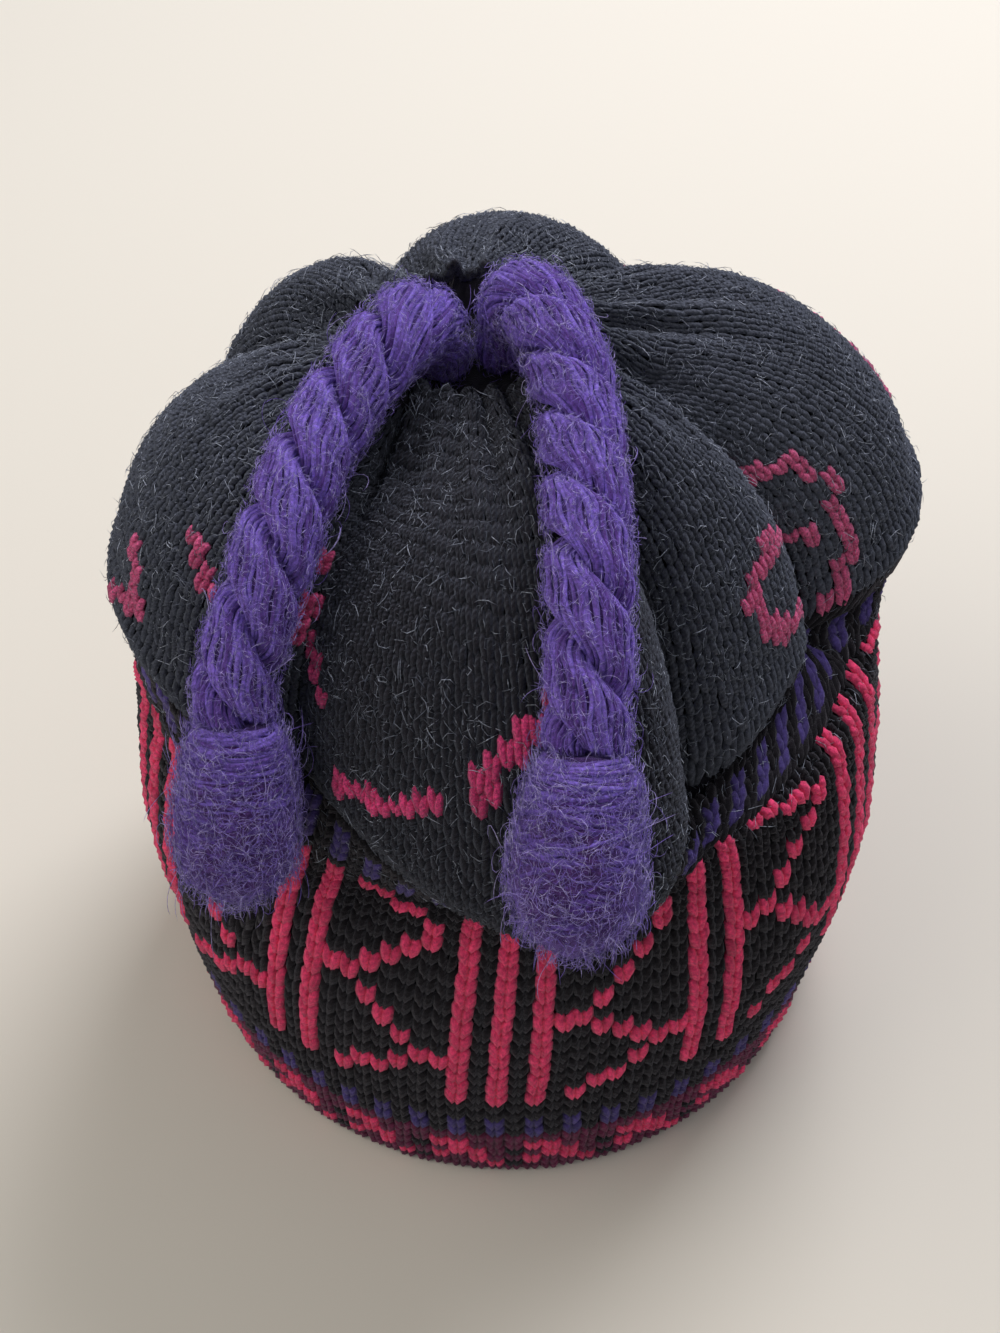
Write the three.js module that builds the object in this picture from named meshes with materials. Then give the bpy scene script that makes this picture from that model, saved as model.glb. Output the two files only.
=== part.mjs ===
// A knitted beanie: a patterned band, a lobed crown drawn together at the top, and two twisted cords that end in
// wound bobbles. Millimetres, +Z up. It stands on its rim, crown up.
// An azimuth is in degrees from -Y, the front, towards +X. A row is one round of knitting, counted from the rim.
import * as THREE from 'three';

// Driving sizes of the knitted body
const bandHalfWidth = 97; // side to side, at the band's widest round
const bandHalfDepth = 91; // front to back
const waistHeight = 106; // the narrow round under the crown, at the front
const waistRise = 26; // how much higher the waist lies at the back than at the front
const crownReach = 108; // from the axis to the edge of the widest lobe
const lipHeight = 134; // the edge where the crown turns in over the band
const crestHeight = 203; // the height that the lobes' tops are shares of
const gatherHeight = 0.9507 * crestHeight; // the edge of the drawn-together centre
const gatherRadius = 0.213 * crownReach;
const gatherBack = 0.1852 * crownReach; // how far the gather lies behind the axis
const gatherSide = -0.0741 * crownReach; // and beside it
const dishRadius = 0.1898 * crownReach; // the flat bottom of the gather, where the cords come out
const dishDepth = 0.0443 * crestHeight;
const valleyDrop = 14; // how much lower a valley lies than the lobes beside it
const wallThickness = 4.6; // stranded knit, two yarns thick

// Rows
const waistRow = 29;
const lipRow = 36;
const gatherRow = 66;

// Driving sizes of the cords and bobbles
const cordDiameter = 19;
const cordSides = 12;
const bobbleRadius = 14.9;
const bobbleLength = 43;
const bobbleSides = 16;
const clearance = 0.3; // between the gather, a cord and its bobble

// Rounds of the band: shares of bandHalfWidth, bandHalfDepth and waistHeight.
const bandRounds = [
  { row: 0, width: 0.9, depth: 0.99, height: 0 },
  { row: 2, width: 0.915, depth: 1, height: 0.06 },
  { row: 6, width: 0.945, depth: 1.01, height: 0.2 },
  { row: 11, width: 0.98, depth: 1.01, height: 0.4 },
  { row: 16, width: 1, depth: 1, height: 0.6 },
  { row: 21, width: 0.985, depth: 0.95, height: 0.8 },
  { row: 25, width: 0.965, depth: 0.9, height: 0.93 },
  { row: waistRow, width: 0.95, depth: 0.87, height: 1 },
];

// Rounds of the crown. out: 0 at the waist, 1 at the lobe's reach, back to 0 at the gather. rise: 0 at the waist,
// 1 at the lip, 2 at the lobe's crest. cut and drop: shares of a valley's full depth and of valleyDrop.
const crownRounds = [
  { row: waistRow, out: 0, rise: 0, cut: 0, drop: 0 },
  { row: 32, out: 0.35, rise: 0.42, cut: 0.25, drop: 0 },
  { row: lipRow, out: 1, rise: 1, cut: 1, drop: 0 },
  { row: 40, out: 1, rise: 1.28, cut: 1, drop: 0.25 },
  { row: 45, out: 0.89, rise: 1.58, cut: 1, drop: 0.5 },
  { row: 50, out: 0.7, rise: 1.83, cut: 1, drop: 0.8 },
  { row: 56, out: 0.43, rise: 1.98, cut: 1, drop: 1 },
  { row: 61, out: 0.2, rise: 2, cut: 0.9, drop: 1 },
  { row: 64, out: 0.07, rise: 1.97, cut: 0.6, drop: 0.6 },
  { row: gatherRow, out: 0, rise: 2, cut: 0, drop: 0 },
];

// Lobes of the crown, each from the azimuth of the valley before it: shares of crownReach, lipHeight and
// crestHeight, and the valley's reach as a share of the lobe's. A skew above 1 puts the bulge nearer the far valley.
const lobes = [
  { from: -37, reach: 0.915, lip: 0.885, crest: 0.955, valley: 0.79, skew: 1.7 },
  { from: 34, reach: 0.66, lip: 0.9, crest: 0.955, valley: 0.74, skew: 1 },
  { from: 78, reach: 1, lip: 0.985, crest: 0.94, valley: 0.72, skew: 1 },
  { from: 150, reach: 0.91, lip: 1.02, crest: 0.94, valley: 0.78, skew: 1 },
  { from: 205, reach: 0.81, lip: 1.04, crest: 0.94, valley: 0.84, skew: 1 },
  { from: 245, reach: 0.84, lip: 1.09, crest: 0.94, valley: 0.88, skew: 1 },
];
const lobeRoundness = 0.6; // under 1, a lobe is broad and its valleys are sharp
const columnsPerLobe = 11;
const rings = [0, 3, 7, 12, 17, 21, 25, 28, 30, 32, 34, 36, 38, 41, 44, 47, 50, 53, 56, 59, 62, 64, gatherRow];

// Each cord's route: the points of its centre line, from the gather to its bobble, which hangs on in line with the
// last two points. x and y are shares of crownReach, z is a share of crestHeight.
const cordRoutes = {
  right: [
    [0.0167, 0.1991, 0.9079], [0.0167, 0.1991, 0.9458], [0.0185, 0.1907, 0.9803], [0.037, 0.1435, 1.0123],
    [0.0741, 0.0602, 1.0236], [0.1063, -0.0361, 1.0212], [0.1288, -0.1501, 1.0093], [0.1421, -0.2939, 0.9958],
    [0.1469, -0.4423, 0.9834], [0.1485, -0.5718, 0.9632], [0.1477, -0.6784, 0.9304], [0.1446, -0.7693, 0.8903],
    [0.139, -0.8342, 0.8523],
  ],
  left: [
    [-0.1648, 0.1713, 0.9079], [-0.1648, 0.1713, 0.9409], [-0.1741, 0.1463, 0.9754], [-0.1991, 0.0926, 1.0025],
    [-0.2407, 0.0185, 1.0099], [-0.2917, -0.0556, 0.9951], [-0.3506, -0.1464, 0.9756], [-0.402, -0.2537, 0.9558],
    [-0.4397, -0.3567, 0.9285], [-0.4727, -0.4412, 0.8948], [-0.5078, -0.5169, 0.855], [-0.5405, -0.5839, 0.8117],
    [-0.5429, -0.6267, 0.7731],
  ],
};

// A bobble from its neck to its round end: shares of bobbleLength and bobbleRadius.
const bobbleRounds = [
  { along: 0, radius: 0.5 },
  { along: 0.07, radius: 0.6 },
  { along: 0.19, radius: 0.72 },
  { along: 0.35, radius: 0.87 },
  { along: 0.56, radius: 1 },
  { along: 0.75, radius: 0.92 },
  { along: 0.9, radius: 0.65 },
  { along: 1, radius: 0.24 },
];

const wool = (colour) => new THREE.MeshStandardMaterial({ color: colour, roughness: 0.95, metalness: 0 });
const blackWool = wool(0x17131c);
const purpleWool = wool(0x4a2f8a);

// The value of one column at a row, on a smooth curve through the table.
function along(rounds, column, row) {
  const last = rounds.length - 2;
  let i = 0;
  while (i < last && row >= rounds[i + 1].row) i += 1;
  const slope = (k) => (rounds[k + 1][column] - rounds[k][column]) / (rounds[k + 1].row - rounds[k].row);
  const tangent = (k) => {
    if (k === 0) return slope(0);
    if (k === last + 1) return slope(last);
    const before = rounds[k].row - rounds[k - 1].row;
    const after = rounds[k + 1].row - rounds[k].row;
    return (slope(k - 1) * after + slope(k) * before) / (before + after);
  };
  const step = rounds[i + 1].row - rounds[i].row;
  const u = (row - rounds[i].row) / step;
  return rounds[i][column] * (1 + 2 * u) * (1 - u) ** 2 + step * tangent(i) * u * (1 - u) ** 2
    + rounds[i + 1][column] * u * u * (3 - 2 * u) + step * tangent(i + 1) * u * u * (u - 1);
}

// The lobe at an azimuth, how far across it the azimuth lies, and its sizes there.
function lobeAt(azimuth) {
  const turned = ((azimuth - lobes[0].from) % 360 + 360) % 360 + lobes[0].from;
  let i = lobes.length - 1;
  while (turned < lobes[i].from) i -= 1;
  const before = lobes[(i + lobes.length - 1) % lobes.length];
  const after = lobes[(i + 1) % lobes.length];
  const end = i + 1 < lobes.length ? after.from : lobes[0].from + 360;
  const across = (turned - lobes[i].from) / (end - lobes[i].from);
  const skewed = across ** lobes[i].skew;
  const bulge = Math.sin(Math.PI * skewed);
  const smooth = across * across * (3 - 2 * across);
  const blend = (column) => {
    const edge = (lobes[i][column] + (skewed < 0.5 ? before : after)[column]) / 2;
    return edge + (lobes[i][column] - edge) * bulge;
  };
  return {
    fold: 1 - bulge ** lobeRoundness,
    reach: blend('reach') * crownReach,
    lip: blend('lip') * lipHeight,
    crest: blend('crest') * crestHeight,
    valley: lobes[i].valley * (1 - smooth) + after.valley * smooth,
  };
}

// Radius of an ellipse with the given half width and half depth.
const ovalRadius = (side, front, width, depth) => 1 / Math.hypot(side / width, front / depth);

// A point of the outer surface.
function bodyPoint(azimuth, row) {
  const side = Math.sin(THREE.MathUtils.degToRad(azimuth));
  const front = -Math.cos(THREE.MathUtils.degToRad(azimuth));
  const waist = waistHeight + waistRise * (1 + front) / 2;
  const bandRow = Math.min(row, waistRow);
  const crownRow = Math.max(row, waistRow);
  let radius = ovalRadius(side, front, along(bandRounds, 'width', bandRow) * bandHalfWidth,
    along(bandRounds, 'depth', bandRow) * bandHalfDepth);
  let height = along(bandRounds, 'height', bandRow) * waist;
  if (row > waistRow) {
    const lobe = lobeAt(azimuth);
    const start = row < lipRow ? radius : gatherRadius;
    const rise = along(crownRounds, 'rise', crownRow);
    const ridge = start + (lobe.reach - start) * along(crownRounds, 'out', crownRow);
    radius = ridge * (1 - lobe.fold * (1 - lobe.valley) * along(crownRounds, 'cut', crownRow));
    height = rise < 1 ? waist + (lobe.lip - waist) * rise : lobe.lip + (lobe.crest - lobe.lip) * (rise - 1);
    height -= lobe.fold * valleyDrop * along(crownRounds, 'drop', crownRow);
    height += (gatherHeight - height) * THREE.MathUtils.smoothstep(row, lipRow + 22, gatherRow);
  }
  const lean = THREE.MathUtils.clamp((row - lipRow) / (gatherRow - lipRow), 0, 1);
  return new THREE.Vector3(radius * side + gatherSide * lean, radius * front + gatherBack * lean, height);
}

// Azimuths of the columns, closer together in the valleys.
const azimuths = lobes.flatMap((lobe, i) => {
  const end = i + 1 < lobes.length ? lobes[i + 1].from : lobes[0].from + 360;
  return Array.from({ length: columnsPerLobe }, (_, k) => {
    const even = k / columnsPerLobe;
    const eased = 0.5 - 0.5 * Math.cos(Math.PI * even);
    return lobe.from + (end - lobe.from) * (even + eased) / 2;
  });
});

// A closed geometry from points and triangles.
function solid(points, triangles) {
  const geometry = new THREE.BufferGeometry();
  geometry.setAttribute('position', new THREE.Float32BufferAttribute(points.flatMap((p) => [p.x, p.y, p.z]), 3));
  geometry.setIndex(triangles.flat());
  geometry.computeVertexNormals();
  return geometry;
}

// The wall between the outer surface and the same surface moved inwards, joined along the flat rim below and
// closed by the dish of the gather above.
function knittedBody() {
  const around = azimuths.length;
  const outer = rings.map((row) => azimuths.map((azimuth) => bodyPoint(azimuth, row)));
  const inwards = (i, j) => {
    const alongRow = outer[i][(j + 1) % around].clone().sub(outer[i][(j + around - 1) % around]);
    const up = outer[Math.min(i + 1, rings.length - 1)][j].clone().sub(outer[Math.max(i - 1, 0)][j]);
    const normal = up.cross(alongRow);
    if (i === 0) normal.z = 0;
    return normal.normalize();
  };
  const inner = outer.map((ring, i) => ring.map((point, j) => point.clone().addScaledVector(inwards(i, j), wallThickness)));
  inner.pop();

  const centre = new THREE.Vector3(gatherSide, gatherBack, gatherHeight - dishDepth);
  const circle = (radius, height) => azimuths.map((azimuth) => {
    const angle = THREE.MathUtils.degToRad(azimuth);
    return new THREE.Vector3(centre.x + radius * Math.sin(angle), centre.y - radius * Math.cos(angle), height);
  });
  outer.push(circle(dishRadius, centre.z));
  inner.push(circle(dishRadius + wallThickness, centre.z - wallThickness));
  const loops = [...inner.reverse(), ...outer];

  const points = loops.flat();
  const triangles = [];
  for (let i = 0; i + 1 < loops.length; i += 1) {
    for (let j = 0; j < around; j += 1) {
      const k = (j + 1) % around;
      const [a, b, c, d] = [i * around + j, i * around + k, (i + 1) * around + k, (i + 1) * around + j];
      triangles.push([a, b, c], [a, c, d]);
    }
  }
  const cap = (loop, height, upwards) => {
    points.push(new THREE.Vector3(centre.x, centre.y, height));
    for (let j = 0; j < around; j += 1) {
      const ends = [loop * around + j, loop * around + (j + 1) % around];
      triangles.push(upwards ? [points.length - 1, ...ends] : [points.length - 1, ends[1], ends[0]]);
    }
  };
  cap(loops.length - 1, centre.z, true);
  cap(0, centre.z - wallThickness, false);
  return solid(points, triangles);
}

const routePoint = ([x, y, z]) => new THREE.Vector3(x * crownReach, y * crownReach, z * crestHeight);

function cord(route) {
  const curve = new THREE.CatmullRomCurve3(route.map(routePoint), false, 'centripetal');
  const section = new THREE.Shape();
  for (let k = 0; k < cordSides; k += 1) {
    const angle = 2 * Math.PI * k / cordSides;
    section[k ? 'lineTo' : 'moveTo'](cordDiameter / 2 * Math.cos(angle), cordDiameter / 2 * Math.sin(angle));
  }
  return new THREE.ExtrudeGeometry(section, { extrudePath: curve, steps: 2 * route.length, bevelEnabled: false });
}

function bobble() {
  const profile = bobbleRounds.map(({ along: share, radius }) => (
    new THREE.Vector2(radius * bobbleRadius, share * bobbleLength)));
  profile.unshift(new THREE.Vector2(0, 0));
  profile.push(new THREE.Vector2(0, bobbleLength));
  return new THREE.LatheGeometry(profile, bobbleSides);
}

const beanie = new THREE.Group();
const add = (name, geometry, material) => {
  const mesh = new THREE.Mesh(geometry, material);
  mesh.name = name;
  beanie.add(mesh);
  return mesh;
};

const body = add('knitted_body', knittedBody(), blackWool);
for (const [side, route] of Object.entries(cordRoutes)) {
  add(`cord_${side}`, cord(route), purpleWool);
  const end = routePoint(route.at(-1));
  const hang = end.clone().sub(routePoint(route.at(-2))).normalize();
  const piece = add(`bobble_${side}`, bobble(), purpleWool);
  piece.quaternion.setFromUnitVectors(new THREE.Vector3(0, 1, 0), hang);
  piece.position.copy(end).addScaledVector(hang, clearance);
}

// The origin lies under the middle of the knitted body, on the surface that the rim stands on.
body.geometry.computeBoundingBox();
const middle = body.geometry.boundingBox.getCenter(new THREE.Vector3());
beanie.position.set(-middle.x, -middle.y, 0);

export default beanie;
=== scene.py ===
import math
import bpy
import numpy as np
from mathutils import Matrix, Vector


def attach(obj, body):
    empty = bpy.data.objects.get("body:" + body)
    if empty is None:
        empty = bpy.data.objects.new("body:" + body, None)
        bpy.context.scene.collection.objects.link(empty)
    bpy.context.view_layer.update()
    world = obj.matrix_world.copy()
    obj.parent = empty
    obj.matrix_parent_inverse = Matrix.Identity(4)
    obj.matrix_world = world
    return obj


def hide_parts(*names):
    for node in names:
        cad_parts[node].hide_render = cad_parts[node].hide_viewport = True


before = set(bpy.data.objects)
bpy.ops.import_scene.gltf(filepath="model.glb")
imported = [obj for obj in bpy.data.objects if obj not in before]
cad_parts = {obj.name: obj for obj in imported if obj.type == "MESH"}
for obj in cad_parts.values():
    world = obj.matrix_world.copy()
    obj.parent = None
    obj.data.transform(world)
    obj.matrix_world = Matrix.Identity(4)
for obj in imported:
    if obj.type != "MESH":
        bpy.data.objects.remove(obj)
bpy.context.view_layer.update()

rng = np.random.default_rng(29)
mm = 0.001
shift = np.array([-3.598873, -1.753826, 0.0])  # puts the origin under the middle of the knitted body, in mm

# The camera looks down at the front lobe from 47.5 degrees above the floor.
view = {"target": (-0.0055, -0.00175, 0.1), "distance": 0.48, "elevation": 47.5, "lens": 49.42}
back = Vector((0, -math.cos(math.radians(view["elevation"])), math.sin(math.radians(view["elevation"]))))
cameraData = bpy.data.cameras.new("camera")
cameraData.lens = view["lens"]
cameraData.sensor_width = 36
camera = bpy.data.objects.new("camera", cameraData)
camera.location = Vector(view["target"]) + back * view["distance"]
camera.rotation_euler = back.to_track_quat("Z", "Y").to_euler()
bpy.context.scene.collection.objects.link(camera)
bpy.context.scene.camera = camera
print("camera placed")


def linear(hexColour):
    # sRGB hex to linear: each channel is ((c + 0.055) / 1.055) ^ 2.4, or c / 12.92 when dark
    channels = np.array([int(hexColour[i:i + 2], 16) / 255 for i in (1, 3, 5)])
    return np.where(channels < 0.04045, channels / 12.92, ((channels + 0.055) / 1.055) ** 2.4)


def addNode(tree, kind, links=(), inputs=(), **settings):
    # One node with its settings, its typed inputs and its links.
    node = tree.nodes.new(kind)
    for key, value in settings.items():
        setattr(node, key, value)
    for key, value in dict(inputs).items():
        node.inputs[key].default_value = value
    for key, source in dict(links).items():
        tree.links.new(source, node.inputs[key])
    return node


# Spun wool. The dye attribute carries each strand's colour. Fine noise mottles it like mixed fibres, the
# strand map's slanted bands are the twist of the plies, and sheen is the light that stands in the loose
# fibre ends.
def woolMaterial(name, settings):
    material = bpy.data.materials.new(name)
    material.use_nodes = True
    tree = material.node_tree
    shader = tree.nodes["Principled BSDF"]
    place = addNode(tree, "ShaderNodeTexCoord")
    dye = addNode(tree, "ShaderNodeAttribute", attribute_name="dye")
    fibre = addNode(tree, "ShaderNodeTexNoise", {"Vector": place.outputs["Object"]},
                    {"Scale": 1 / (settings["mottle"] * mm), "Detail": 3.0, "Roughness": 0.65})
    lighten = addNode(tree, "ShaderNodeMapRange", {"Value": fibre.outputs["Fac"]},
                      {"From Min": 0.3, "From Max": 0.7,
                       "To Min": settings["dark"], "To Max": settings["light"]})
    mixed = addNode(tree, "ShaderNodeVectorMath", {0: dye.outputs["Color"], 1: lighten.outputs["Result"]},
                    operation="MULTIPLY")
    strand = addNode(tree, "ShaderNodeUVMap", uv_map="strand")
    stretched = addNode(tree, "ShaderNodeVectorMath", {0: strand.outputs["UV"]}, {1: settings["streak"]},
                        operation="MULTIPLY")
    streaks = addNode(tree, "ShaderNodeTexNoise", {"Vector": stretched.outputs["Vector"]},
                      {"Scale": 1.0, "Detail": 2.0, "Roughness": 0.6})
    turns = addNode(tree, "ShaderNodeVectorMath", {0: strand.outputs["UV"]},
                    {1: (settings["plies"], settings["twist"], 0.0)}, operation="DOT_PRODUCT")
    wave = addNode(tree, "ShaderNodeMath", {0: turns.outputs["Value"]}, {1: 2 * math.pi},
                   operation="MULTIPLY")
    ply = addNode(tree, "ShaderNodeMath", {0: wave.outputs["Value"]}, operation="COSINE")
    stray = addNode(tree, "ShaderNodeTexNoise", {"Vector": place.outputs["Object"]},
                    {"Scale": 1 / (settings["hair"] * mm), "Detail": 2.0, "Roughness": 0.7})
    loose = addNode(tree, "ShaderNodeMath", {0: streaks.outputs["Fac"], 1: stray.outputs["Fac"]},
                    operation="ADD")
    height = addNode(tree, "ShaderNodeMath", {0: ply.outputs["Value"], 2: loose.outputs["Value"]},
                     {1: settings["relief"]}, operation="MULTIPLY_ADD")
    bump = addNode(tree, "ShaderNodeBump", {"Height": height.outputs["Value"]},
                   {"Strength": 0.8, "Distance": settings["depth"] * mm})
    tree.links.new(mixed.outputs["Vector"], shader.inputs["Base Color"])
    tree.links.new(bump.outputs["Normal"], shader.inputs["Normal"])
    shader.inputs["Roughness"].default_value = 0.95
    shader.inputs["Specular IOR Level"].default_value = 0.15
    shader.inputs["Sheen Weight"].default_value = settings["sheen"]
    shader.inputs["Sheen Roughness"].default_value = settings["sheenRoughness"]
    shader.inputs["Sheen Tint"].default_value = (*linear(settings["sheenColour"]), 1)
    return material


knitWool = woolMaterial("knitWool", {"mottle": 1.1, "dark": 0.6, "light": 1.5, "plies": 2.0, "twist": 1.6,
                                     "hair": 0.3, "relief": 0.15, "depth": 0.4, "sheen": 0.35,
                                     "streak": (9.0, 0.5, 0.0), "sheenRoughness": 0.45,
                                     "sheenColour": "#bab8c0"})
crownWool = woolMaterial("crownWool", {"mottle": 0.55, "dark": 0.5, "light": 2.2, "plies": 2.0, "twist": 1.6,
                                       "hair": 0.22, "relief": 0.3, "depth": 0.5, "sheen": 0.28,
                                       "streak": (9.0, 0.5, 0.0), "sheenRoughness": 0.55,
                                       "sheenColour": "#c2ccdf"})
cordWool = woolMaterial("cordWool", {"mottle": 0.8, "dark": 0.4, "light": 1.75, "plies": 1.0, "twist": 0.35,
                                     "hair": 0.24, "relief": 0.3, "depth": 0.5, "sheen": 0.9,
                                     "streak": (8.0, 0.25, 0.0), "sheenRoughness": 0.45,
                                     "sheenColour": "#b3a0ff"})
print("materials made")


def addMesh(name, points, quads, triangles, material, cornerMap, dye):
    # Flips every face if the enclosed volume, a sum of point . (edge x edge) / 6, comes out negative.
    both = np.concatenate([quads[:, [0, 1, 2]], quads[:, [0, 2, 3]], triangles])
    a, b, c = points[both[:, 0]], points[both[:, 1]], points[both[:, 2]]
    loops = np.concatenate([quads.ravel(), triangles.ravel()])
    sizes = np.concatenate([np.full(len(quads), 4), np.full(len(triangles), 3)])
    starts = np.concatenate([[0], np.cumsum(sizes)[:-1]])
    if np.einsum("ij,ij->", a, np.cross(b, c)) < 0:
        ends = np.cumsum(sizes)
        order = np.repeat(starts + ends - 1, sizes) - np.arange(len(loops))
        loops = loops[order]
        cornerMap = cornerMap[order]
    mesh = bpy.data.meshes.new(name)
    mesh.vertices.add(len(points))
    mesh.vertices.foreach_set("co", points.astype(np.float32).ravel())
    mesh.loops.add(len(loops))
    mesh.loops.foreach_set("vertex_index", loops.astype(np.int32))
    mesh.polygons.add(len(sizes))
    mesh.polygons.foreach_set("loop_start", starts.astype(np.int32))
    mesh.polygons.foreach_set("loop_total", sizes.astype(np.int32))
    mesh.update(calc_edges=True)
    mesh.polygons.foreach_set("use_smooth", np.ones(len(sizes), bool))
    mesh.uv_layers.new(name="strand").data.foreach_set("uv", cornerMap.astype(np.float32).ravel())
    colours = np.concatenate([dye, np.ones((len(dye), 1))], axis=1)
    painted = mesh.attributes.new("dye", "FLOAT_COLOR", "POINT")
    painted.data.foreach_set("color", colours.astype(np.float32).ravel())
    mesh.materials.append(material)
    mesh.update()
    piece = bpy.data.objects.new(name, mesh)
    bpy.context.scene.collection.objects.link(piece)
    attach(piece, "root")
    print(name, len(both), "triangles")
    return piece


def unit(vectors):
    # Each vector over its own length.
    return vectors / np.maximum(np.linalg.norm(vectors, axis=-1, keepdims=True), 1e-12)


def tubes(paths, normals, girths, sides, dye, squash=1.0):
    # Many tubes at once. A ring's point is centre + girth (cos t sideways + sin t upward), with sideways =
    # along x normal; the first and last point of a path are the closed tips.
    count, stations = paths.shape[0], paths.shape[1] - 2
    along = unit(paths[:, 2:] - paths[:, :-2])
    sideways = unit(np.cross(along, normals[:, 1:-1]))
    upward = np.cross(sideways, along)
    turn = 2 * np.pi * np.arange(sides) / sides
    rings = (paths[:, 1:-1, None] + girths[:, :, None, None] * (np.cos(turn)[:, None] * sideways[:, :, None]
             + squash * np.sin(turn)[:, None] * upward[:, :, None]))
    points = np.concatenate([rings.reshape(count, stations * sides, 3), paths[:, :1], paths[:, -1:]], axis=1)
    ring, side = np.meshgrid(np.arange(stations - 1), np.arange(sides), indexing="ij")
    ring, side = ring.ravel(), side.ravel()
    after = (side + 1) % sides
    quads = np.stack([ring * sides + side, ring * sides + after, (ring + 1) * sides + after,
                      (ring + 1) * sides + side], axis=1)
    quadMap = np.stack([np.stack([side, ring], 1), np.stack([side + 1, ring], 1),
                        np.stack([side + 1, ring + 1], 1), np.stack([side, ring + 1], 1)], axis=1)
    quadMap = quadMap.astype(float)
    edge = np.arange(sides)
    last = (stations - 1) * sides
    start, end = stations * sides, stations * sides + 1
    triangles = np.concatenate([np.stack([np.full(sides, start), (edge + 1) % sides, edge], 1),
                                np.stack([np.full(sides, end), last + edge, last + (edge + 1) % sides], 1)])
    capMap = np.zeros((2 * sides, 3, 2))
    capMap[:sides, :, 0] = np.stack([edge + 0.5, edge + 1, edge], 1)
    capMap[:sides, :, 1] = [-1, 0, 0]
    capMap[sides:, :, 0] = np.stack([edge + 0.5, edge, edge + 1], 1)
    capMap[sides:, :, 1] = [stations, stations - 1, stations - 1]
    quadMap[..., 0] /= sides
    capMap[..., 0] /= sides
    offset = (np.arange(count) * points.shape[1])[:, None, None]
    return {
        "points": points.reshape(-1, 3),
        "quads": (quads[None] + offset).reshape(-1, 4),
        "triangles": (triangles[None] + offset).reshape(-1, 3),
        "quadMap": np.tile(quadMap.reshape(-1, 2), (count, 1)),
        "capMap": np.tile(capMap.reshape(-1, 2), (count, 1)),
        "dye": np.repeat(dye, points.shape[1], axis=0),
    }


def closedRings(rings, poles, dye):
    # A grid of closed rings, each joined to the next by quads, with a fan to the pole at both ends.
    stations, columns = rings.shape[:2]
    points = np.concatenate([rings.reshape(-1, 3), [poles[0]], [poles[1]]])
    i, j = np.meshgrid(np.arange(stations - 1), np.arange(columns), indexing="ij")
    i, j = i.ravel(), j.ravel()
    k = (j + 1) % columns
    quads = np.stack([i * columns + j, i * columns + k, (i + 1) * columns + k, (i + 1) * columns + j], 1)
    quadMap = np.stack([np.stack([j, i], 1), np.stack([j + 1, i], 1), np.stack([j + 1, i + 1], 1),
                        np.stack([j, i + 1], 1)], 1) / [columns, 1]
    edge, last = np.arange(columns), (stations - 1) * columns
    triangles = np.concatenate([
        np.stack([np.full(columns, len(points) - 2), (edge + 1) % columns, edge], 1),
        np.stack([np.full(columns, len(points) - 1), last + edge, last + (edge + 1) % columns], 1)])
    return {"points": points, "quads": quads, "triangles": triangles, "quadMap": quadMap.reshape(-1, 2),
            "capMap": np.zeros((6 * columns, 2)), "dye": np.tile(dye, (len(points), 1))}


def join(parts):
    # All parts as one: each part's corner numbers go up by the points that come before it.
    offsets = np.cumsum([0] + [len(part["points"]) for part in parts[:-1]])
    whole = {key: np.concatenate([part[key] for part in parts])
             for key in ("points", "quadMap", "capMap", "dye")}
    for key in ("quads", "triangles"):
        whole[key] = np.concatenate([part[key] + offset for part, offset in zip(parts, offsets)])
    return whole


def addParts(name, parts, material):
    whole = join(parts)
    corners = np.concatenate([whole["quadMap"], whole["capMap"]])
    return addMesh(name, whole["points"], whole["quads"], whole["triangles"], material, corners,
                   whole["dye"])


# The body's form, in mm. The tables go by rows of knitting, counted up from the rim.
bandTop = 29
lipRow = 36
closingRow = 58
topRow = 66
bandRounds = {
    "row": [0, 2, 6, 11, 16, 21, 25, 29],
    "width": [0.9, 0.915, 0.945, 0.98, 1, 0.985, 0.965, 0.95],
    "depth": [0.99, 1, 1.01, 1.01, 1, 0.95, 0.9, 0.87],
    "height": [0, 0.06, 0.2, 0.4, 0.6, 0.8, 0.93, 1],
}
crownRounds = {
    "row": [29, 32, 36, 40, 45, 50, 56, 61, 64, 66],
    "out": [0, 0.35, 1, 1, 0.89, 0.7, 0.43, 0.2, 0.07, 0],
    "rise": [0, 0.42, 1, 1.28, 1.58, 1.83, 1.98, 2, 1.97, 2],
    "cut": [0, 0.25, 1, 1, 1, 1, 1, 0.9, 0.6, 0],
    "drop": [0, 0, 0, 0.25, 0.5, 0.8, 1, 1, 0.6, 0],
}
lobes = {
    "start": [-37, 34, 78, 150, 205, 245],
    "reach": [0.915, 0.66, 1, 0.91, 0.81, 0.84],
    "lip": [0.885, 0.9, 0.985, 1.02, 1.04, 1.09],
    "crest": [0.955, 0.955, 0.94, 0.94, 0.94, 0.94],
    "valley": [0.79, 0.74, 0.72, 0.78, 0.84, 0.88],
    "skew": [1.7, 1, 1, 1, 1, 1],
}
hat = {"halfWidth": 97.0, "halfDepth": 91.0, "waist": 106.0, "waistRise": 26.0, "reach": 108.0, "lip": 134.0,
       "crest": 203.0, "gather": 193.0, "gatherRadius": 23.0, "gatherBack": 20.0, "gatherSide": -8.0,
       "dishRadius": 20.5, "dishDepth": 9.0, "valleyDrop": 14.0, "wall": 4.6, "roundness": 0.6}


def cubic(first, last, leave, reach, u):
    # first (1 + 2u) (1 - u)^2 + leave u (1 - u)^2 + last u^2 (3 - 2u) + reach u^2 (u - 1), where u goes
    # from 0 at the first to 1 at the last, with those two slopes.
    return (first * (1 + 2 * u) * (1 - u) ** 2 + leave * u * (1 - u) ** 2
            + last * u * u * (3 - 2 * u) + reach * u * u * (u - 1))


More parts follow.
